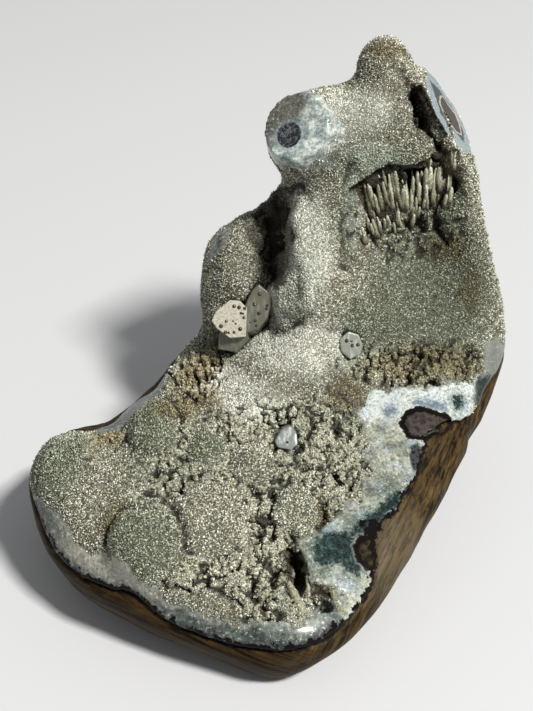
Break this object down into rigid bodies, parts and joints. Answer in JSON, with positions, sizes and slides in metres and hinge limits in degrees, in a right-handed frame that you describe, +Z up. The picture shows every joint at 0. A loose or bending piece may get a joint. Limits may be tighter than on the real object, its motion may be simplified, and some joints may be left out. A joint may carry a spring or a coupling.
{
  "type": "jasper stalactite specimen",
  "caption": "Chair-shaped lump of brown basalt lined with sugary grey-green jasper, with ground stalactite stubs, a polished rim and small apophyllite crystals, on a flat cut.",
  "frame": {"origin": "middle of the bounding box, on the plane of the flat cut that it stands on", "axes": "+Z up, +X to the right and -Y out of the hollow face, towards the viewer"},
  "size_m": [0.12, 0.1232, 0.1115],
  "materials": {
    "basalt": "ground and polished, with fine streaks",
    "jasper": "sugary druse, polished along the rim and on the stub ends",
    "apophyllite": "cloudy to clear crystal with flat faces"
  },
  "bodies": {
    "root": {"basalt_matrix": "basalt", "jasper_crust": "jasper", "apophyllite_cluster": "apophyllite", "apophyllite_middle": "apophyllite", "apophyllite_low": "apophyllite"}
  },
  "joints": []
}
